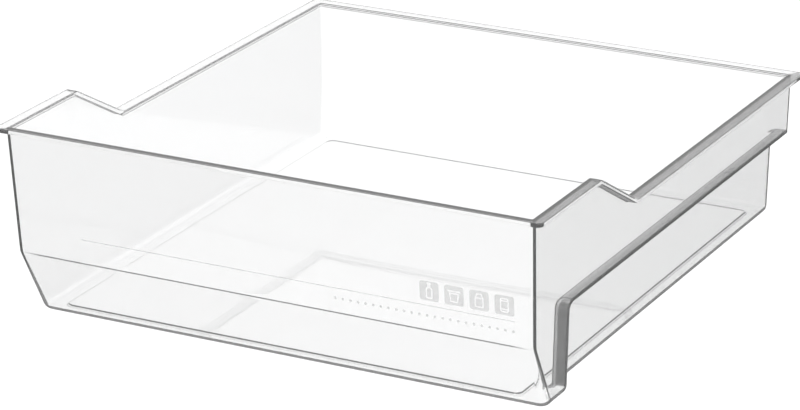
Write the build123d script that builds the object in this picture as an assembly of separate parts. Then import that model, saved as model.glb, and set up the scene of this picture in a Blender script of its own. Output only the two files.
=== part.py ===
"""Clear refrigerator bin with a raised front rim, a slanted chin and a runner step down its right side.

The bin is a single clear moulding. It is written here as its natural zones, which meet face to face:
the floor, the wall panels, the rounded corners, the runner step and the lip that follows the rim.
The printed marks on the front are thin layers of ink, each a solid of its own.

Frame: millimetres, +Z up, the front of the bin faces -Y, +X is the bin's right seen from the front.
The origin is the middle of the bin's outline, on the plane that it stands on.
"""

from build123d import *
import math
import os

# ---------------------------------------------------------------- driving sizes
inner_width = 430.0      # mouth between the side walls, at the raised rim
inner_depth = 486.5      # mouth between the front and rear walls, at the raised rim
front_height = 157.0     # standing plane to the raised rim
rear_height = 120.5      # standing plane to the low rim
wall = 2.6               # every wall and the floor

raised_length = 96.0     # raised rim along each side, from the mouth's front
slope_length = 66.0      # level length of the sloped rim behind it

crease_height = 55.8     # standing plane to the crease across the front
front_lean = 8.5         # how far the front leans back between rim and crease
chin_setback = 26.8      # how far the chin runs back between crease and standing plane
side_draft = 1.3         # degrees
rear_draft = 0.5         # degrees

corner_radius = 9.0      # upright corners at the standing plane, outside
upper_radius = 3.2       # upright corners from the crease up, outside
recess_radius = 8.0      # upright rear corner of the recessed wall, outside
floor_radius = 7.0       # walls into floor, outside

side_lip = 7.4           # lip beyond the side and rear walls
front_lip = 4.4          # lip beyond the front wall
lip_thickness = 3.4
lip_corner_radius = 5.0

step_start = 64.5        # runner step, from the mouth's front
step_height = 70.5       # standing plane to the ledge's underside
step_inset = 12.5        # outside wall to recessed wall, at the ledge
step_radius = 6.0        # ledge into upright web, outside
step_edge_radius = 4.0   # other edges of the step, outside

foot_band = 7.0          # flat band that the bin stands on, round the raised floor
floor_rise = 1.0         # raised floor above that band

ink = 0.12               # thickness of the printed layers
tile_size = 15.2
tile_space = 4.6         # between neighbouring tiles
tile_radius = 2.0
tile_gap = 4.0           # printed rule to the tiles above it
tile_margin = 6.2        # last tile to the front panel's right end
rule_width = 0.7
rule_rise = 20.0         # crease to the printed rule, up the front panel
rule_left = 57.0         # rule's left end, from the bin's left side
dot_size = 2.2
dot_pitch = 6.2
dot_count = 24
dot_drop = 8.0           # printed rule to the middle of the dots under it

zone_margin = 3.0        # a zone reaches this far past the rounding that it holds
ledge_margin = 2.0       # the same for the ledge
touch = 0.1              # an edge this near to a plane lies on it

# ---------------------------------------------------------------- derived sizes
floor_top = wall
lean_angle = math.atan2(front_lean, front_height - crease_height)
chin_angle = math.atan2(chin_setback, crease_height)
side_slope = math.tan(math.radians(side_draft))
rear_slope = math.tan(math.radians(rear_draft))

overall_width = inner_width + 2 * (wall + side_lip)
overall_depth = front_lip + inner_depth + side_lip + 2 * wall
lip_front = -overall_depth / 2
lip_rear = overall_depth / 2
front_out = lip_front + front_lip
mouth_front = front_out + wall
mouth_rear = mouth_front + inner_depth
rear_out = mouth_rear + wall

peak_y = mouth_front + raised_length
notch_y = peak_y + slope_length
slope_angle = math.atan2(front_height - rear_height, slope_length)

above = front_height + 50.0
below = -10.0
beyond = overall_width + overall_depth


def half_width(z, inset):
    """Half the outside width at height z, less an inset."""
    return inner_width / 2 + wall - (front_height - z) * side_slope - inset


def rear_face(z, inset):
    """Y of the rear wall's outside at height z, less an inset."""
    return rear_out - (front_height - z) * rear_slope - inset


def front_points(inset):
    """(y, z) of the front's profile at its foot, its crease and its rim, moved inwards by an inset."""
    crease_y = front_out + front_lean
    upper_shift = inset / math.cos(lean_angle)
    chin_shift = inset / math.cos(chin_angle)
    lift = (chin_shift - upper_shift) / (math.tan(chin_angle) - math.tan(lean_angle))
    bottom = (crease_y + chin_setback + chin_shift, 0.0)
    crease = (crease_y - lift * math.tan(lean_angle) + upper_shift, crease_height + lift)
    rim = (front_out + upper_shift, front_height)
    return bottom, crease, rim


def front_face(z, inset):
    """Y of the front at height z, moved inwards by an inset."""
    bottom, crease, rim = front_points(inset)
    low, high = (bottom, crease) if z <= crease[1] else (crease, rim)
    share = (z - low[1]) / (high[1] - low[1])
    return low[0] + share * (high[0] - low[0])


def upright_radius(z):
    """Radius of the upright corners at height z: it shrinks from the standing plane to the crease."""
    share = min(z / crease_height, 1.0)
    return corner_radius + share * (upper_radius - corner_radius)


def outline(z, inset):
    """The bin's rounded plan at height z, moved inwards by an inset."""
    half = half_width(z, inset)
    front = front_face(z, inset)
    rear = rear_face(z, inset)
    plan = RectangleRounded(2 * half, rear - front, upright_radius(z) - inset)
    return Pos(0, (front + rear) / 2, z) * plan


def tub(inset, bottom, top):
    """Solid with the bin's plan, from bottom to top, moved inwards by an inset."""
    crease = front_points(inset)[1][1]
    return loft([outline(z, inset) for z in (bottom, crease, top)], ruled=True)


def box(x0, x1, y0, y1, z0, z1):
    """Box between two corners."""
    return Pos(x0, y0, z0) * Box(x1 - x0, y1 - y0, z1 - z0, align=(Align.MIN,) * 3)


def side_prism(points, x0=-beyond, x1=beyond):
    """Solid with a side profile of (y, z) points, between x0 and x1."""
    profile = make_face(Polyline([(0, y, z) for y, z in points], close=True))
    return Pos(x0, 0, 0) * extrude(profile, x1 - x0, dir=(1, 0, 0))


def flat_edges(shape, axis, place, reach):
    """Edges of a shape that lie near a plane across an axis."""
    found = []
    for edge in shape.edges():
        limits = edge.bounding_box()
        low = getattr(limits.min, axis)
        high = getattr(limits.max, axis)
        if abs(low - place) < reach and abs(high - place) < reach:
            found.append(edge)
    return found


def stepped_tub(inset, bottom):
    """The tub with the runner step taken out of its right side and its lower edges rounded."""
    ledge = step_height + inset
    start = mouth_front + step_start - inset
    ledge_x = half_width(ledge, step_inset + inset)
    low_x = half_width(below, step_inset + inset)
    corners = [(low_x, below), (ledge_x, ledge), (beyond, ledge), (beyond, below)]
    profile = make_face(Polyline([(x, start, z) for x, z in corners], close=True))
    notch = extrude(profile, beyond, dir=(0, 1, 0))
    front_edges = flat_edges(notch, "Y", start, touch)
    across = [edge for edge in flat_edges(notch, "Z", ledge, touch) if edge in front_edges]
    notch = fillet(across, step_radius + inset)

    shape = tub(inset, bottom, front_height) - notch
    draft_reach = 2 * (front_height - bottom) * side_slope / 3
    recessed = flat_edges(shape, "X", ledge_x, draft_reach)
    rear_edge = [edge for edge in recessed if edge.center().Y > rear_face(bottom, inset + touch)]
    shape = fillet(rear_edge, recess_radius - inset)

    recessed = flat_edges(shape, "X", ledge_x, draft_reach)
    inside_step = [edge for edge in recessed if edge.center().Y < rear_face(bottom, inset + corner_radius)]
    inside_step = [edge for edge in inside_step if edge.center().Z > bottom + touch]
    shape = fillet(inside_step, step_edge_radius + inset)
    return fillet(flat_edges(shape, "Z", bottom, touch), floor_radius - inset)


def foot_outline(height, inset):
    """Plan of the raised floor, a foot band inside the flat of the floor."""
    side = half_width(0, floor_radius + foot_band) - inset
    recessed = half_width(0, step_inset + floor_radius + foot_band) - inset
    chin_foot = front_face(0, 0) + floor_radius * math.tan((math.pi / 2 - chin_angle) / 2)
    front = chin_foot + foot_band + inset
    rear = rear_face(0, floor_radius + foot_band) - inset
    plan = RectangleRounded(side + recessed, rear - front, floor_radius - inset)
    return Pos((recessed - side) / 2, (front + rear) / 2, height) * plan


def rim_profile(drop):
    """(y, z) points along the rim from front to rear, moved down square to the rim by a drop."""
    shift = drop * math.tan(slope_angle / 2)
    high = front_height - drop
    low = rear_height - drop
    return [(-beyond, high), (peak_y - shift, high), (notch_y - shift, low), (beyond, low)]


def under_rim(drop):
    """Everything below the rim's line, moved down by a drop."""
    return side_prism([(-beyond, below)] + rim_profile(drop) + [(beyond, below)])


def front_zone(depth):
    """Everything in front of the front's profile, moved back by a depth."""
    bottom, crease, rim = front_points(0)
    chin_step = (bottom[0] - crease[0]) / crease[1]
    points = [(-beyond, below), (bottom[0] - below * chin_step + depth, below)]
    points += [(crease[0] + depth, crease[1]), (rim[0] + depth, rim[1])]
    points += [(rim[0] + depth, above), (-beyond, above)]
    return side_prism(points)


# ---------------------------------------------------------------- the moulding, before it is cut into zones
pocket = extrude(foot_outline(below, 0), floor_rise - below)
plateau = extrude(foot_outline(floor_top, wall / 2), floor_rise)
hollow = stepped_tub(wall, floor_top) - plateau
solid_tub = stepped_tub(0, 0.0)
walls = (solid_tub - pocket - hollow) & under_rim(lip_thickness)

lip_half = inner_width / 2 + wall + side_lip
lip_plan = RectangleRounded(2 * lip_half, overall_depth, lip_corner_radius)
lip = extrude(Pos(0, 0, below) * lip_plan, above - below)
mouth = tub(wall, floor_top, front_height)
lip = lip & (under_rim(0) - under_rim(lip_thickness)) - mouth


# ---------------------------------------------------------------- zones
zone = floor_radius + zone_margin
side_x = half_width(0, 0) - zone
recess_x = half_width(0, step_inset) - zone
rear_y = rear_face(0, 0) - zone
web_front = mouth_front + step_start - zone
web_rear = mouth_front + step_start + zone
ledge_low = step_height - step_edge_radius - ledge_margin
ledge_high = step_height + wall + ledge_margin

front = front_zone(zone)
front_walls = walls & front
rear_walls = walls - front


def side(shape, x0=-beyond, x1=beyond, y0=-beyond, y1=beyond, z0=below, z1=above):
    """The part of a shape inside a box; sides that aren't given are open."""
    return shape & box(x0, x1, y0, y1, z0, z1)


nodes = {
    "floor_panel": side(rear_walls, x0=-side_x, x1=recess_x, y1=rear_y),
    "front_upper_panel": side(front_walls, x0=-side_x, x1=side_x, z0=crease_height),
    "front_chin": side(front_walls, x0=-side_x, x1=side_x, z1=crease_height),
    "front_left_corner": side(front_walls, x1=-side_x),
    "front_right_corner": side(front_walls, x0=side_x),
    "left_front_wall": side(rear_walls, x1=-side_x, y1=notch_y),
    "left_rear_wall": side(rear_walls, x1=-side_x, y0=notch_y, y1=rear_y),
    "rear_left_corner": side(rear_walls, x1=-side_x, y0=rear_y),
    "rear_wall": side(rear_walls, x0=-side_x, x1=recess_x, y0=rear_y),
    "right_front_wall": side(rear_walls, x0=recess_x, y1=web_front),
    "right_step_web": side(rear_walls, x0=recess_x, y0=web_front, y1=web_rear, z1=ledge_high),
    "right_ledge": side(rear_walls, x0=recess_x, y0=web_rear, z0=ledge_low, z1=ledge_high),
    "right_lower_wall": side(rear_walls, x0=recess_x, y0=web_rear, y1=rear_y, z1=ledge_low),
    "rear_right_lower_corner": side(rear_walls, x0=recess_x, y0=rear_y, z1=ledge_low),
    "right_raised_wall": side(rear_walls, x0=recess_x, y0=web_front, y1=notch_y, z0=ledge_high),
    "right_upper_wall": side(rear_walls, x0=recess_x, y0=notch_y, y1=rear_y, z0=ledge_high),
    "rear_right_upper_corner": side(rear_walls, x0=recess_x, y0=rear_y, z0=ledge_high),
}

lip_peak = rim_profile(lip_thickness)[1][0]
lip_notch = rim_profile(lip_thickness)[2][0]
lip_start = mouth_front + zone
lip_end = mouth_rear - zone
nodes["front_lip"] = side(lip, y1=lip_start)
nodes["rear_lip"] = side(lip, y0=lip_end)
for name, low, high in (("left", -beyond, 0.0), ("right", 0.0, beyond)):
    half_lip = side(lip, x0=low, x1=high)
    nodes[name + "_raised_lip"] = side(half_lip, y0=lip_start, y1=lip_peak)
    nodes[name + "_sloped_lip"] = side(half_lip, y0=lip_peak, y1=lip_notch)
    nodes[name + "_low_lip"] = side(half_lip, y0=lip_notch, y1=lip_end)


# ---------------------------------------------------------------- printed marks on the front panel
# The print plane lies on the panel's outside, with its origin on the crease at the middle of the bin.
bottom_point, crease_point, rim_point = front_points(0)
print_plane = Plane(
    origin=(0, crease_point[0], crease_point[1]),
    x_dir=(1, 0, 0),
    z_dir=(0, -math.cos(lean_angle), -math.sin(lean_angle)),
)


def printed(sketch):
    """A layer of ink on the front panel, from a drawing on the print plane."""
    return extrude(print_plane * sketch, ink)


def outlined(shape, line):
    """The outline of a closed drawing, a line wide, inside its edge."""
    return shape - offset(shape, -line)


# The pictograms are drawn on a grid with sixteen squares to a tile's side.
square = tile_size / 16
mark_line = 1.15 * square


def bottle():
    """A slim bottle with a screw cap."""
    body = Pos(0, -1.7 * square) * RectangleRounded(5.7 * square, 9.2 * square, 1.3 * square)
    neck = Pos(0, 4.4 * square) * Rectangle(2.6 * square, 4.2 * square)
    cap = Pos(0, 6.4 * square) * Rectangle(3.8 * square, 1.5 * square)
    return outlined(body + neck, mark_line) + cap


def cup():
    """A tapered tub with a lid."""
    top = 2.3 * square
    foot = -5.7 * square
    corners = [(-4.4 * square, top), (4.4 * square, top), (3.2 * square, foot), (-3.2 * square, foot)]
    body = make_face(Polyline(corners, close=True))
    lid = Pos(0, 3.6 * square) * Rectangle(10.7 * square, 1.4 * square)
    return outlined(body, mark_line) + lid


def carton():
    """A gable-topped carton."""
    half = 3.8 * square
    shoulder = 1.9 * square
    peak = 5.9 * square
    body = Pos(0, -2.0 * square) * Rectangle(2 * half, 7.8 * square)
    corners = [(-half, shoulder), (half, shoulder), (2.1 * square, peak), (-2.1 * square, peak)]
    gable = make_face(Polyline(corners, close=True))
    fold = Pos(0, shoulder) * Rectangle(2 * half, square)
    return outlined(body + gable, mark_line) + fold


def can():
    """A drinks can with a rounded shoulder."""
    width = 7.4 * square
    body = RectangleRounded(width, 12.0 * square, 2.1 * square)
    band = Rectangle(width, square)
    return outlined(body, mark_line) + Pos(0, 3.4 * square) * band + Pos(0, -3.4 * square) * band


marks = {"bottle": bottle(), "tub": cup(), "carton": carton(), "can": can()}
panel_right = half_width(crease_height, corner_radius)
for index, (name, mark) in enumerate(marks.items()):
    from_right = tile_margin + tile_size / 2 + (len(marks) - 1 - index) * (tile_size + tile_space)
    tile = RectangleRounded(tile_size, tile_size, tile_radius) - mark
    tile_height = rule_rise + tile_gap + tile_size / 2
    nodes["print_tile_" + name] = printed(Pos(panel_right - from_right, tile_height) * tile)

rule_x0 = rule_left - half_width(crease_height, 0)
rule_x1 = panel_right - tile_margin
rule = Rectangle(rule_x1 - rule_x0, rule_width)
nodes["print_rule"] = printed(Pos((rule_x0 + rule_x1) / 2, rule_rise) * rule)

dots = Sketch()
for index in range(dot_count):
    dots += Pos(rule_x1 - dot_size / 2 - index * dot_pitch, rule_rise - dot_drop) * Circle(dot_size / 2)
nodes["print_dots"] = printed(dots)

# ---------------------------------------------------------------- written files
os.makedirs("parts", exist_ok=True)
for name, shape in nodes.items():
    export_step(shape, "parts/" + name + ".step")
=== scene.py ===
"""A clear refrigerator bin: one moulded shell with a lipped rim and a runner step, and a faint pad print."""
import math

import bpy
import numpy as np
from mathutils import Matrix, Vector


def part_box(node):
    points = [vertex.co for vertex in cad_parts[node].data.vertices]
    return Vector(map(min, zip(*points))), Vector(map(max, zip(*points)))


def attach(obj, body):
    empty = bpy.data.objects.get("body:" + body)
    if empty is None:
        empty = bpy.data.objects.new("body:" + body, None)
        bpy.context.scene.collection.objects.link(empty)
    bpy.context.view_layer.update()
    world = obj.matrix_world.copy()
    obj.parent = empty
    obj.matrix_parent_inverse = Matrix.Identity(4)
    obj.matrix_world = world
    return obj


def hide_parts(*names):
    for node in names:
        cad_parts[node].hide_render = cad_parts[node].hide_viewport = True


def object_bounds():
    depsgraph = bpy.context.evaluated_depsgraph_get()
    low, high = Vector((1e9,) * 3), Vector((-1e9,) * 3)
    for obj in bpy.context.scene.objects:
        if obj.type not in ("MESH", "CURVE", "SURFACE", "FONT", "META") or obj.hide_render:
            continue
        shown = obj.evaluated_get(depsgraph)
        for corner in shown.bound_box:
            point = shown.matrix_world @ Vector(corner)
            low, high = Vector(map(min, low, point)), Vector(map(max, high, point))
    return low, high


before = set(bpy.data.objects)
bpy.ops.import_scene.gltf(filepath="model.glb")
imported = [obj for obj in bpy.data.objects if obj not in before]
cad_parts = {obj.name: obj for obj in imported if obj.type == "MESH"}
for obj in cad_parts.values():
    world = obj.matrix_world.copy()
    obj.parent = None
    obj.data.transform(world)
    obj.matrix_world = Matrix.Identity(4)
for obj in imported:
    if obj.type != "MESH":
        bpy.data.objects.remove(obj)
cad_box = [list(corner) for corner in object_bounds()]

# ------------------------------------------------------------------ the moulding
# One injection-moulded shell of clear styrene plastic, 2.6 mm thick, from the raised floor to the lip.
# It is one closed surface: a section that starts at the middle of the floor's top, climbs the inside,
# goes over the lip and back down the outside to the middle of the underside, carried round the plan.
(left_lip, front_lip, stand), (right_lip, rear_lip, rim_high) = cad_box
rim_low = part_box("rear_lip")[1].z
bend_shift = 0.0009
peak_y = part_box("right_sloped_lip")[0].y + bend_shift
notch_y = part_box("right_low_lip")[0].y + bend_shift
crease_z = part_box("front_upper_panel")[0].z
front_lip_reach, side_lip_reach = 0.0044, 0.0074
front_wall_y = front_lip + front_lip_reach
half_at_rim = right_lip - side_lip_reach
rear_wall_y = rear_lip - side_lip_reach

wall = 0.0026
corner_r, upper_r, recess_r = 0.009, 0.0032, 0.008
floor_r = 0.007
lip_thick, lip_corner_r = 0.0034, 0.005
side_slope = math.tan(math.radians(1.3))
rear_slope = math.tan(math.radians(0.5))
front_lean = 0.0085
chin_setback = 0.0268
lean_angle = math.atan2(front_lean, rim_high - crease_z)
chin_angle = math.atan2(chin_setback, crease_z)
slope_tan = (rim_high - rim_low) / (notch_y - peak_y)

step_start = front_wall_y + wall + 0.0645
step_z, step_in = 0.0705, 0.0125
step_corner_r, step_fillet_r = 0.006, 0.004
foot_band, floor_rise = 0.007, 0.001
edge_r, small_r = 0.0007, 0.0004
crease_r, rim_bend_r = 0.0005, 0.0006

# how far each part is painted darker and made rougher, from 0 to 1: painted shade for the dark lines at edges
# and bends; chosen, not a known texture
ledge_painted_shade, web_painted_shade, crease_painted_shade = 0.90, 1.0, 0.92
near_lip_painted_shade, far_lip_painted_shade, floor_edge_painted_shade = 0.78, 0.12, 0.8

half_at_floor = half_at_rim - rim_high * side_slope
hair = 1e-9

# where the fixed columns along a side begin, where they end, and where they have passed the step's bend
y_ahead = step_start - 0.0118
y_behind = rear_wall_y - 0.034
y_past_step = step_start + step_corner_r + 0.001
fan_growth, fan_gap, foot_squeeze = 1.15, 0.0002, 0.93


def eased(count, power=1.0):
    """Numbers from 0 up to 1, the last one left out."""
    return (np.arange(count) / count) ** power


def soft_max(a, b, width):
    """The larger of two values, with the kink between them rounded over by a hyperbola of that width."""
    return 0.5 * (a + b + np.sqrt((a - b) ** 2 + width ** 2))


# Along a side, fixed columns of the grid stand where the web, the rim's slope and its two bends need them.
web_points = 15
bend_points = 5
round_turn = np.linspace(0.0, math.pi / 2, 4)
fillet_turn = np.linspace(0.0, math.pi / 2, 7)[1:]
near_bend = np.array([-3.0, -1.2, -0.5, 0.0, 0.5, 1.2, 3.0]) * 0.001
run_in = eased(4)
past_step = np.concatenate([
    np.linspace(y_past_step, peak_y - 0.006, 4),
    peak_y + near_bend,
    np.linspace(peak_y + 0.009, notch_y - 0.009, 7),
    notch_y + near_bend,
    np.linspace(notch_y + 0.012, y_behind, 20),
])
side_count = len(run_in) + web_points + bend_points - 1 + len(past_step)


def step_profile(inset):
    """(run into the step, depth in from the wall) across the step's edge: a small outer round, the flat
    shoulder and a quarter-circle fillet into the recessed wall."""
    fillet = step_fillet_r + inset
    round_d = -edge_r * (1 - np.sin(round_turn))
    round_e = edge_r * (1 - np.cos(round_turn))
    flat_e = np.linspace(edge_r, step_in - fillet, 6)[1:]
    fillet_d = fillet * (1 - np.cos(fillet_turn))
    fillet_e = step_in - fillet * (1 - np.sin(fillet_turn))
    run = np.concatenate([round_d, 0 * flat_e, fillet_d])
    depth = np.concatenate([round_e, flat_e, fillet_e])
    return run, depth


def spread(run):
    """Where the step's lines go once they have left it: fanned out so that no two of them coincide."""
    flat = run <= hair
    fan = np.linspace(-0.002, -0.0001, int(flat.sum()))
    return np.concatenate([fan, fan_growth * run[~flat] + fan_gap])


# Each column is a fixed mixture of the plan's left, right, front and rear lines, its corner radius and a
# fixed place along the side, so that one sum gives any ring of the shell.
FRONT, ARC, LEAD, TAIL, REAR = 28, 8, 6, 5, 24


def columns():
    """The columns' weights, anticlockwise from the front's left end: x from left, right, radius; y from
    front, rear, radius, along."""
    turn = eased(ARC) * math.pi / 2
    t, zero, one = eased(FRONT), np.zeros(FRONT), np.ones(FRONT)
    rows = [np.stack([1 - t, t, 1 - 2 * t, one, zero, zero, zero])]
    zero, one = np.zeros(ARC), np.ones(ARC)
    rows += [np.stack([zero, one, np.sin(turn) - 1, one, zero, 1 - np.cos(turn), zero])]
    t, zero, one = eased(LEAD), np.zeros(LEAD), np.ones(LEAD)
    lead = np.stack([zero, one, zero, 1 - t, zero, 1 - t, t])
    zero, one = np.zeros(side_count), np.ones(side_count)
    fixed = np.stack([zero, one, zero, zero, zero, zero, one])
    t, zero, one = (np.arange(TAIL) + 1) / (TAIL + 1), np.zeros(TAIL), np.ones(TAIL)
    tail = np.stack([zero, one, zero, zero, t, -t, 1 - t])
    rows += [lead, fixed, tail]
    zero, one = np.zeros(ARC), np.ones(ARC)
    rows += [np.stack([zero, one, np.cos(turn) - 1, zero, one, np.sin(turn) - 1, zero])]
    t, zero, one = eased(REAR), np.zeros(REAR), np.ones(REAR)
    rows += [np.stack([t, 1 - t, 2 * t - 1, zero, one, zero, zero])]
    zero, one = np.zeros(ARC), np.ones(ARC)
    rows += [np.stack([one, zero, 1 - np.sin(turn), zero, one, np.cos(turn) - 1, zero])]
    swap = np.array([1, 0, 2, 3, 4, 5, 6])
    end = np.array([[0.0], [1.0], [0.0], [0.0], [1.0], [-1.0], [0.0]])
    rows += [np.concatenate([end, tail[:, ::-1], fixed[:, ::-1], lead[:, :0:-1]], axis=1)[swap]]
    rows += [np.stack([one, zero, 1 - np.cos(turn), one, zero, 1 - np.sin(turn), zero])]
    return np.concatenate(rows, axis=1)


weights = columns()
count = weights.shape[1]
right_at = FRONT + ARC
first_fixed = right_at + LEAD
web_at = first_fixed + len(run_in)
past_at = web_at + web_points + bend_points - 1
rear_at = first_fixed + side_count + TAIL + ARC
rear_end = rear_at + REAR
left_fixed = rear_end + ARC + 1 + TAIL
arc_turn = eased(ARC) * math.pi / 2
chin_share = np.zeros(count)
chin_share[:FRONT] = 1.0
chin_share[FRONT:right_at] = np.cos(arc_turn)
chin_share[-ARC:] = np.sin(arc_turn)
stepped = np.zeros(count, bool)
stepped[web_at:rear_at] = True
recess_share = np.where(stepped, 1.0, 0.0)
recess_share[rear_at:rear_end] = 1 - eased(REAR)


def along_side(start, run):
    """The y of every column's fixed share, for a surface whose step begins at start."""
    fixed = np.concatenate([
        y_ahead + run_in * (start - 0.002 - y_ahead),
        start + spread(run),
        np.linspace(start + spread(run)[-1], y_past_step, bend_points + 1)[1:-1],
        past_step,
    ])
    y = np.full(count, y_ahead)
    y[first_fixed:first_fixed + side_count] = fixed
    y[first_fixed + side_count:left_fixed] = y_behind
    y[left_fixed:left_fixed + side_count] = fixed[::-1]
    return y


def ring(left, right, front, rear, radius, along):
    """Rings of the shell seen from above: the columns' weights times the plan's lines."""
    w = weights
    x = left * w[0] + right * w[1] + radius * w[2]
    y = front * w[3] + rear * w[4] + radius * w[5] + along * w[6]
    return x, y


def half_width(z, inset):
    """Half the width over the side walls at height z: the walls lean out by a steady draft."""
    return half_at_rim - (rim_high - z) * side_slope - inset


def front_face(z, inset):
    """The front's y at height z: the leaning panel and the chin under it, each moved in square to itself,
    whichever stands further back, with the crease between them rounded."""
    panel = front_wall_y + inset / math.cos(lean_angle) + (rim_high - z) * math.tan(lean_angle)
    chin = front_wall_y + front_lean + inset / math.cos(chin_angle) + (crease_z - z) * math.tan(chin_angle)
    return soft_max(panel, chin, crease_r)


def rear_face(z, inset):
    """The rear wall's y at height z: a steady draft."""
    return rear_wall_y - (rim_high - z) * rear_slope - inset


def upright_radius(z, recess):
    """Radius of the upright corners at height z: it shrinks from the standing plane to the crease, and goes
    over to the recessed wall's own radius with the depth of the recess."""
    plain = corner_r + np.clip(z / crease_z, 0.0, 1.0) * (upper_r - corner_r)
    return plain + recess / step_in * recess_share * (recess_r - plain)


def wall_ring(z, inset, recess, along):
    """Rings on a wall's surface at heights z, moved in by an inset, the right side moved in by the recess."""
    half = half_width(z, inset)
    radius = upright_radius(z, recess) - inset
    x, y = ring(-half, half - recess, front_face(z, inset), rear_face(z, inset), radius, along)
    return np.stack([x, y, z + 0 * x], axis=-1)


def rim_height(y):
    """The rim's height at y: level, a straight slope between the two bends, and level again."""
    slope = rim_high - (y - peak_y) * slope_tan
    return -soft_max(-rim_high, -soft_max(slope, rim_low, rim_bend_r), rim_bend_r)


def below_rim(y, drop):
    """Points a drop below the rim, square to it: (y, z)."""
    step = 1e-5
    rise = (rim_height(y + step) - rim_height(y - step)) / (2 * step)
    length = np.sqrt(1 + rise ** 2)
    return y + drop * rise / length, rim_height(y) - drop / length


# the plan of the floor's flat, seven millimetres inside the walls, with the web's bend carried round it
outer_run, outer_depth = step_profile(0.0)
foot_along = along_side(step_start, outer_run)
foot_in = half_at_floor - floor_r
front_foot = front_face(0.0, 0.0) + floor_r * math.tan((math.pi / 2 - chin_angle) / 2)
foot_recess = np.where(stepped, step_in, 0.0)
foot_recess[rear_at:rear_end] = step_in
web = slice(web_at, web_at + web_points)
before_web = slice(first_fixed, web_at)
shoulder = outer_depth <= step_in - step_fillet_r + hair
fillet_share = np.where(shoulder, 0.0, (outer_depth - (step_in - step_fillet_r)) / step_fillet_r)
turn = np.arcsin(np.clip(fillet_share, 0, 1))
wide_r = step_fillet_r + floor_r
corner_gap = step_in - step_fillet_r - floor_r
on_shoulder = corner_gap * outer_depth / (step_in - step_fillet_r)
foot_recess[web] = np.where(shoulder, on_shoulder, corner_gap + wide_r * np.sin(turn))
foot_along[web] = step_start + step_fillet_r - wide_r * np.cos(turn)
squeeze = (step_start - floor_r - y_ahead) / (step_start - 0.002 - y_ahead)
foot_along[before_web] = y_ahead + (foot_along[before_web] - y_ahead) * squeeze * foot_squeeze
after_web = slice(web_at + web_points, past_at)
foot_along[after_web] = np.linspace(foot_along[web][-1], y_past_step, bend_points + 1)[1:-1]


def foot_ring(z):
    """The line where the walls' rounding runs out on the floor."""
    rear = rear_face(0.0, floor_r)
    x, y = ring(-foot_in, foot_in - foot_recess, front_foot, rear, corner_r - floor_r, foot_along)
    return np.stack([x, y, z + 0 * x], axis=-1)[None]


def plateau_ring(inset, z):
    """Rings round the raised floor, moved in by an inset."""
    inset = np.reshape(inset, (-1, 1))
    z = np.reshape(z, (-1, 1))
    left = -(foot_in - foot_band - inset)
    right = foot_in - step_in - foot_band - inset
    front = front_foot + foot_band + inset
    rear = rear_face(0.0, floor_r + foot_band) - inset
    x, y = ring(left, right, front, rear, floor_r - inset, foot_along)
    return np.stack([x, y, z + 0 * x], axis=-1)


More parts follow.
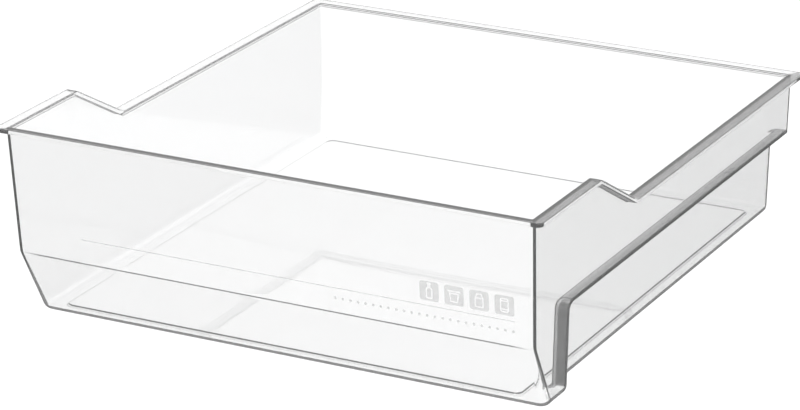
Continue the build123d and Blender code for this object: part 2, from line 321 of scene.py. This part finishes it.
def wall_surface(inset, floor_z, drop):
    """One side of the wall, from the floor up to a drop below the rim, as (rings, painted shade share). Rows
    rise from the floor's rounding past the crease to the step; each line of the step's edge turns from upright
    to level on an arc. On the outside the web, the ledge and the crease get painted shade, darker and rougher;
    it changes only how they look."""
    run, depth = step_profile(inset)
    fan = spread(run)
    start = step_start - inset
    ledge = step_z + inset
    bend_r = step_corner_r + inset
    along = along_side(start, run)
    low_z = ledge - bend_r - 0.001
    last = web_points - 1

    bottom_r = floor_r - inset
    turn_by = math.pi / 2 - chin_share * chin_angle
    reach = bottom_r * np.tan(turn_by / 2)
    top_of_round = floor_z + reach * np.cos(chin_share * chin_angle)
    spare = 1 / math.cos(chin_angle) - 1 / math.cos(lean_angle)
    crease = crease_z + inset * spare / (math.tan(chin_angle) - math.tan(lean_angle))
    crease_rows = crease + np.array([-3.0, -1.5, -0.8, -0.4, 0.0, 0.4, 0.8, 1.5, 3.0]) * 0.001
    levels = np.concatenate([[0.02, 0.038], crease_rows])
    lower = [top_of_round[None]] + [np.full((1, count), z) for z in levels]
    lower_z = np.concatenate(lower)

    rows = bend_points + last + 1
    strip_z = np.zeros((rows, count))
    strip_y = np.tile(along, (rows, 1))
    strip_e = np.zeros((rows, count))
    settled = np.concatenate([np.linspace(low_z, ledge - fan[-1], bend_points + 1)[:-1], ledge - fan[::-1]])
    strip_z[:] = settled[:, None]
    rise = np.linspace(low_z, ledge - run[-1], bend_points + 1)[:-1]
    stepped_z = np.concatenate([rise, ledge - run[::-1]])
    stepped_e = np.concatenate([np.full(bend_points, depth[-1]), depth[::-1]])
    strip_z[:, stepped] = stepped_z[:, None]
    strip_e[:, stepped] = stepped_e[:, None]
    strip_e[:, rear_at:rear_end] = stepped_e[:, None]
    strip_z[:, rear_at] = stepped_z
    line, leg = np.meshgrid(np.arange(web_points), np.arange(rows), indexing="ij")
    radius = bend_r - run[line]
    room = np.maximum(last - line, 1)
    back = leg - line
    lean = math.pi / 4 * (1 - np.minimum(back / bend_points, 1.0))
    drop_z = (low_z - ledge + bend_r) * np.maximum(back - bend_points, 0) / room
    up_z = ledge - bend_r + radius * np.sin(lean) + drop_z
    up_y = start + bend_r - radius * np.cos(lean)
    rises = back >= 0
    spot = rows - 1 - leg[rises], web_at + line[rises]
    strip_z[spot], strip_y[spot], strip_e[spot] = up_z[rises], up_y[rises], depth[line][rises]
    over = leg + 1
    lean = math.pi / 4 * (1 + np.minimum(over / bend_points, 1.0))
    flat_z = ledge - bend_r + radius * np.sin(lean)
    level = (y_past_step - start - bend_r) * np.maximum(over - bend_points, 0) / room
    flat_y = start + bend_r - radius * np.cos(lean) + level
    runs_on = over < rows - line
    spot = rows - 1 - line[runs_on], (web_at + line + over)[runs_on]
    strip_z[spot], strip_y[spot], strip_e[spot] = flat_z[runs_on], flat_y[runs_on], depth[line][runs_on]

    web_y = np.tile(along, (len(lower_z), 1))
    web_y[:, web] = start + run
    low_e = np.zeros((len(lower_z), count))
    low_e[:, stepped] = depth[-1]
    low_e[:, web] = depth
    low_e[:, rear_at:rear_end] = depth[-1]

    share = np.array([0.12, 0.3, 0.5, 0.7, 0.9, 1.0])[:, None]
    top_y, top_z = below_rim(wall_ring(np.full((1, count), rim_high), inset, 0.0, along)[..., 1], drop)
    from_z = strip_z[-1:]
    upper_z = from_z + share * (top_z - from_z)
    upper_y = along + share * (top_y - wall_ring(top_z, inset, 0.0, along)[..., 1])

    z = np.concatenate([lower_z, strip_z, upper_z])
    y = np.concatenate([web_y, strip_y, upper_y])
    e = np.concatenate([low_e, strip_e, np.zeros_like(upper_z)])
    body = wall_ring(z, inset, e, y)

    corner = wall_ring(np.full((1, count), floor_z), inset, low_e[:1], web_y[:1])
    top = body[:1]
    foot = foot_ring(floor_z)
    angle = np.linspace(math.pi / 2, 0.0, 8)[:-1].reshape(-1, 1, 1)
    rounding = corner + (top - corner) * (1 - np.sin(angle)) + (foot - corner) * (1 - np.cos(angle))

    # painted shade: the web, the ledge and the front crease are drawn darker (and rougher) to stand in for the
    # dark lines that bent light gives there
    painted_shade = np.zeros(body.shape[:2])
    strip = slice(len(lower_z), len(lower_z) + rows)
    on_edge = (depth > edge_r * 0.9) & (run < 0.6 * step_fillet_r)
    painted_shade[:strip.start, web] = web_painted_shade * on_edge
    on_ledge = on_edge[line] & runs_on
    past = slice(web_at + web_points, rear_at)
    painted_shade[strip.stop - 1 - line[on_ledge], (web_at + line + over)[on_ledge]] = ledge_painted_shade
    painted_shade[strip.stop - 1 - np.flatnonzero(on_edge), past] = ledge_painted_shade
    on_web = on_edge[line] & rises
    painted_shade[strip.stop - 1 - leg[on_web], web_at + line[on_web]] = web_painted_shade
    at_crease = np.flatnonzero(np.abs(levels - crease) < 0.0005) + 1
    painted_shade[at_crease[0]:at_crease[-1] + 1, 1:FRONT] = crease_painted_shade
    painted_shade = np.concatenate([np.zeros(rounding.shape[:2]), painted_shade])
    return np.concatenate([rounding, body]), painted_shade if inset == 0.0 else 0 * painted_shade


def lip_rings():
    """Over the lip: rounds off the mouth, crosses the top, turns down the edge and comes back underneath.
    Each ring lies an inset in from the wall's outside or the lip's edge and a drop below the rim."""
    quarter = np.linspace(0.0, math.pi / 2, 5)
    rings = []
    inner_along = along_side(step_start - wall, step_profile(wall)[0])
    outer_along = along_side(step_start, outer_run)
    middle = (inner_along + outer_along) / 2

    def on_wall(inset, drop, along):
        """A ring on the wall, an inset in from its outside and a drop below the rim."""
        base = wall_ring(np.full((1, count), rim_high), inset, 0.0, along)
        y, z = below_rim(base[..., 1], drop)
        placed = wall_ring(z, inset, 0.0, along)
        return np.stack([placed[..., 0], placed[..., 1] + y - base[..., 1], z], axis=-1)

    def on_edge(inset, drop):
        """A ring on the lip, an inset in from its outer edge and a drop below the rim."""
        sides = left_lip + inset, right_lip - inset, front_lip + inset, rear_lip - inset
        x, y = ring(*sides, lip_corner_r - inset, middle)
        y, z = below_rim(y[None], drop)
        return np.stack([x[None], y, z], axis=-1)

    for a in quarter[1:]:
        rings.append(on_wall(wall - edge_r * (1 - math.cos(a)), edge_r * (1 - math.sin(a)), inner_along))
    for a in quarter:
        rings.append(on_edge(edge_r * (1 - math.sin(a)), edge_r * (1 - math.cos(a))))
    for a in quarter:
        rings.append(on_edge(edge_r * (1 - math.cos(a)), lip_thick - edge_r * (1 - math.sin(a))))
    for a in quarter[:-1]:
        rings.append(on_wall(-edge_r * (1 - math.sin(a)), lip_thick + edge_r * (1 - math.cos(a)), outer_along))
    return np.concatenate(rings)


def towards_middle(edge):
    """Smaller copies of a flat ring, shrunk towards its middle, smallest first."""
    middle = edge.mean(axis=0)
    return middle + np.array([0.25, 0.5, 0.75, 0.96]).reshape(-1, 1, 1) * (edge - middle)


def moulding_grid():
    """The whole section, ring by ring, from the floor's middle over the lip to the underside's middle, and
    how much painted shade, with its roughness, each point gets."""
    quarter = np.linspace(0.0, math.pi / 2, 4)
    ahead, behind = small_r * (1 - np.sin(quarter)), small_r * (1 - np.cos(quarter))
    raised = plateau_ring(
        np.concatenate([wall / 2 + ahead, wall / 2 - behind]),
        np.concatenate([wall + floor_rise - behind, wall + ahead]),
    )
    pocket = plateau_ring(
        np.concatenate([-ahead, behind]),
        np.concatenate([behind, floor_rise - ahead]),
    )
    inside, inside_painted_shade = wall_surface(wall, wall, edge_r)
    outside, outside_painted_shade = wall_surface(0.0, 0.0, lip_thick + edge_r)
    lip = lip_rings()
    # painted shade on the lip tops: the near front and right lips painted much darker than the rear and left
    # ones
    lip_painted_shade = np.zeros(lip.shape[:2])
    lip_painted_shade[3:5] = far_lip_painted_shade
    lip_painted_shade[3:5, :rear_at] = near_lip_painted_shade
    inner_middle, outer_middle = towards_middle(raised[0]), towards_middle(pocket[-1])
    grid = np.concatenate([inner_middle, raised, inside, lip, outside[::-1], pocket, outer_middle[::-1]])
    # painted shade along the raised floor's edge, inside and underneath
    floor_in = np.zeros((len(inner_middle) + len(raised), count))
    floor_in[len(inner_middle) + 3:len(inner_middle) + 5] = floor_edge_painted_shade
    floor_out = np.zeros((len(outer_middle) + len(pocket), count))
    floor_out[3:5] = floor_edge_painted_shade
    return grid, np.concatenate([floor_in, inside_painted_shade, lip_painted_shade, outside_painted_shade[::-1], floor_out])


def closed_shell(grid):
    """(vertices, quads, triangles) of rings joined in order, the first and the last ring closed by a fan to a
    middle point."""
    rings, around = grid.shape[:2]
    index = np.arange(rings * around).reshape(rings, around)
    here, ahead = index[:-1], index[1:]
    quads = np.stack([here, ahead, np.roll(ahead, -1, 1), np.roll(here, -1, 1)], axis=-1).reshape(-1, 4)
    first, last = index[0], index[-1]
    ends = grid[[0, -1]].mean(axis=1)
    top = np.stack([np.full(around, rings * around), first, np.roll(first, -1)], axis=-1)
    bottom = np.stack([last, np.full(around, rings * around + 1), np.roll(last, -1)], axis=-1)
    return np.concatenate([grid.reshape(-1, 3), ends]), quads, np.concatenate([top, bottom])


def new_piece(name, vertices, quads, triangles, material):
    """A mesh object at the origin with its place in its vertices, riding on the part's one body."""
    mesh = bpy.data.meshes.new(name)
    mesh.vertices.add(len(vertices))
    mesh.vertices.foreach_set("co", vertices.astype(np.float32).ravel())
    loops = np.concatenate([quads.ravel(), triangles.ravel()])
    quad_starts = np.arange(len(quads)) * 4
    starts = np.concatenate([quad_starts, len(quads) * 4 + np.arange(len(triangles)) * 3])
    mesh.loops.add(len(loops))
    mesh.loops.foreach_set("vertex_index", loops.astype(np.int32))
    mesh.polygons.add(len(starts))
    mesh.polygons.foreach_set("loop_start", starts.astype(np.int32))
    mesh.polygons.foreach_set("use_smooth", np.ones(len(starts), bool))
    mesh.update(calc_edges=True)
    mesh.validate()
    mesh.materials.append(material)
    piece = bpy.data.objects.new(name, mesh)
    bpy.context.scene.collection.objects.link(piece)
    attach(piece, "root")
    return piece


def clear_plastic():
    """Clear styrene: a smooth refracting solid with a breath of grey in its body, a faint haze on its skin and
    very fine flow ripple. The painted shade share paints shade at edges and bends, darker and rougher, and
    stays so under any light. A twentieth of it is diffuse, which keeps its darkest edges from going black."""
    material = bpy.data.materials.new("clear_styrene")
    material.use_nodes = True
    nodes, links = material.node_tree.nodes, material.node_tree.links
    shader = nodes["Principled BSDF"]
    shader.inputs["Transmission Weight"].default_value = 0.95
    shader.inputs["IOR"].default_value = 1.57
    body = nodes.new("ShaderNodeVolumeAbsorption")
    body.inputs["Color"].default_value = (0.52, 0.52, 0.52, 1.0)
    body.inputs["Density"].default_value = 2.0
    links.new(body.outputs["Volume"], nodes["Material Output"].inputs["Volume"])
    place = nodes.new("ShaderNodeTexCoord")
    ripple = nodes.new("ShaderNodeTexNoise")
    ripple.inputs["Scale"].default_value = 9.0
    ripple.inputs["Detail"].default_value = 1.0
    haze = nodes.new("ShaderNodeTexNoise")
    haze.inputs["Scale"].default_value = 60.0
    haze.inputs["Detail"].default_value = 4.0
    rough = nodes.new("ShaderNodeMapRange")
    rough.inputs["From Min"].default_value = 0.35
    rough.inputs["From Max"].default_value = 0.75
    rough.inputs["To Min"].default_value = 0.0
    rough.inputs["To Max"].default_value = 0.03
    share = nodes.new("ShaderNodeAttribute")
    share.attribute_name = "painted_shade_share"
    # painted shade: the share mixes the base colour from clear towards near black
    painted_shade_mix = nodes.new("ShaderNodeMix")
    painted_shade_mix.data_type = "RGBA"
    painted_shade_mix.inputs["A"].default_value = (0.99, 0.99, 0.99, 1.0)
    painted_shade_mix.inputs["B"].default_value = (0.012, 0.012, 0.012, 1.0)
    grained = nodes.new("ShaderNodeMath")
    grained.operation = "MULTIPLY_ADD"
    grained.inputs[1].default_value = 0.22
    links.new(share.outputs["Fac"], painted_shade_mix.inputs["Factor"])
    links.new(painted_shade_mix.outputs["Result"], shader.inputs["Base Color"])
    links.new(share.outputs["Fac"], grained.inputs[0])
    links.new(rough.outputs["Result"], grained.inputs[2])
    bump = nodes.new("ShaderNodeBump")
    bump.inputs["Strength"].default_value = 0.05
    bump.inputs["Distance"].default_value = 0.002
    links.new(place.outputs["Object"], ripple.inputs["Vector"])
    links.new(place.outputs["Object"], haze.inputs["Vector"])
    links.new(haze.outputs["Fac"], rough.inputs["Value"])
    links.new(grained.outputs[0], shader.inputs["Roughness"])
    links.new(ripple.outputs["Fac"], bump.inputs["Height"])
    links.new(bump.outputs["Normal"], shader.inputs["Normal"])
    return material


grid, painted_shade = moulding_grid()
vertices, quads, triangles = closed_shell(grid)
moulding = new_piece("bin_moulding", vertices, quads, triangles, clear_plastic())
# the painted shade share, one value a point
painted_shade_share = moulding.data.attributes.new("painted_shade_share", "FLOAT", "POINT")
painted_shade_share.data.foreach_set("value", np.concatenate([painted_shade.ravel(), [0.0, 0.0]]).astype(np.float32))
facing = moulding.modifiers.new("level_normals", "WEIGHTED_NORMAL")
facing.mode = "FACE_AREA"
facing.weight = 50
moulding.visible_shadow = False
moulding.visible_diffuse = False
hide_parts(*[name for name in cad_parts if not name.startswith("print_")])

# ------------------------------------------------------------------ the pad print
# A thin layer of pale grey ink on the front panel: a rule, a row of dots and four tiles with clear food packs.
# It is printed straight on the plastic, so it is matte, slightly see-through and a little uneven.


def pale_ink():
    """Matte grey ink whose cover varies a little, as a pad leaves it."""
    material = bpy.data.materials.new("pale_ink")
    material.use_nodes = True
    nodes, links = material.node_tree.nodes, material.node_tree.links
    shader = nodes["Principled BSDF"]
    shader.inputs["Roughness"].default_value = 0.6
    shader.inputs["Alpha"].default_value = 0.3
    place = nodes.new("ShaderNodeTexCoord")
    grain = nodes.new("ShaderNodeTexNoise")
    grain.inputs["Scale"].default_value = 900.0
    grain.inputs["Detail"].default_value = 3.0
    tone = nodes.new("ShaderNodeValToRGB")
    tone.color_ramp.elements[0].position = 0.3
    tone.color_ramp.elements[0].color = (0.52, 0.52, 0.52, 1.0)
    tone.color_ramp.elements[1].position = 0.7
    tone.color_ramp.elements[1].color = (0.60, 0.60, 0.60, 1.0)
    links.new(place.outputs["Object"], grain.inputs["Vector"])
    links.new(grain.outputs["Fac"], tone.inputs["Fac"])
    links.new(tone.outputs["Color"], shader.inputs["Base Color"])
    return material


ink = pale_ink()
for name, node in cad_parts.items():
    if name.startswith("print_"):
        node.data.materials.clear()
        node.data.materials.append(ink)
        node.visible_shadow = False

# ------------------------------------------------------------------ floor, light and camera
# A plain white sweep, a broad overhead light that lights it evenly, and a grey room that the edges pick up.


def sweep_paper():
    """Matt white paper that is made dimmer in paths that have been mirrored or refracted. This is a device of
    the renderer and no real paper does it: it is what draws the clear piece's edges dark on white."""
    material = bpy.data.materials.new("sweep_paper")
    material.use_nodes = True
    nodes, links = material.node_tree.nodes, material.node_tree.links
    white = nodes["Principled BSDF"]
    white.inputs["Base Color"].default_value = (0.93, 0.93, 0.93, 1.0)
    white.inputs["Roughness"].default_value = 1.0
    white.inputs["Specular IOR Level"].default_value = 0.0
    dim = nodes.new("ShaderNodeBsdfDiffuse")
    dim.inputs["Color"].default_value = (0.16, 0.16, 0.16, 1.0)
    path = nodes.new("ShaderNodeLightPath")
    mirrored = nodes.new("ShaderNodeMath")
    mirrored.operation = "MINIMUM"
    mirrored.inputs[1].default_value = 1.0
    choice = nodes.new("ShaderNodeMixShader")
    links.new(path.outputs["Glossy Depth"], mirrored.inputs[0])
    links.new(mirrored.outputs[0], choice.inputs["Fac"])
    links.new(white.outputs[0], choice.inputs[1])
    links.new(dim.outputs[0], choice.inputs[2])
    links.new(choice.outputs[0], nodes["Material Output"].inputs["Surface"])
    return material


floor_mesh = bpy.data.meshes.new("studio_floor")
reach, level = 30.0, stand - 0.0002
corners = [(-reach, -reach, level), (reach, -reach, level), (reach, reach, level), (-reach, reach, level)]
floor_mesh.from_pydata(corners, [], [(0, 1, 2, 3)])
floor_mesh.materials.append(sweep_paper())
floor = bpy.data.objects.new("studio_floor", floor_mesh)
bpy.context.scene.collection.objects.link(floor)

world = bpy.data.worlds.new("studio_room")
world.use_nodes = True
room, room_links = world.node_tree.nodes, world.node_tree.links
direction = room.new("ShaderNodeTexCoord")
height = room.new("ShaderNodeSeparateXYZ")
walls_to_ceiling = room.new("ShaderNodeValToRGB")
ramp = walls_to_ceiling.color_ramp
ramp.elements[0].position = 0.45
ramp.elements[0].color = (1.0, 1.0, 1.0, 1.0)
ramp.elements[1].position = 0.70
ramp.elements[1].color = (0.10, 0.105, 0.11, 1.0)
room_links.new(direction.outputs["Generated"], height.inputs[0])
room_links.new(height.outputs["Z"], walls_to_ceiling.inputs["Fac"])
room_links.new(walls_to_ceiling.outputs["Color"], room["Background"].inputs["Color"])
room["Background"].inputs["Strength"].default_value = 1.0
bpy.context.scene.world = world

sun = bpy.data.lights.new("overhead", "SUN")
sun.energy = 2.6
sun.angle = math.radians(30)
overhead = bpy.data.objects.new("overhead", sun)
bpy.context.scene.collection.objects.link(overhead)

camera_data = bpy.data.cameras.new("camera")
camera_data.sensor_width = 36.0
camera_data.lens = 3709.0 / 800.0 * 36.0
camera_data.clip_end = 100.0
azimuth, elevation = math.radians(27.17), math.radians(20.22)
target, distance = np.array([-0.0141, 0.0, 0.0487]), 2.917
level_share = math.cos(elevation)
back = np.array([math.sin(azimuth) * level_share, -math.cos(azimuth) * level_share, math.sin(elevation)])
camera = bpy.data.objects.new("camera", camera_data)
camera.location = target + distance * back
camera.rotation_euler = (math.pi / 2 - elevation, 0.0, azimuth)
bpy.context.scene.collection.objects.link(camera)
bpy.context.scene.camera = camera
bpy.context.scene.view_settings.view_transform = "Standard"
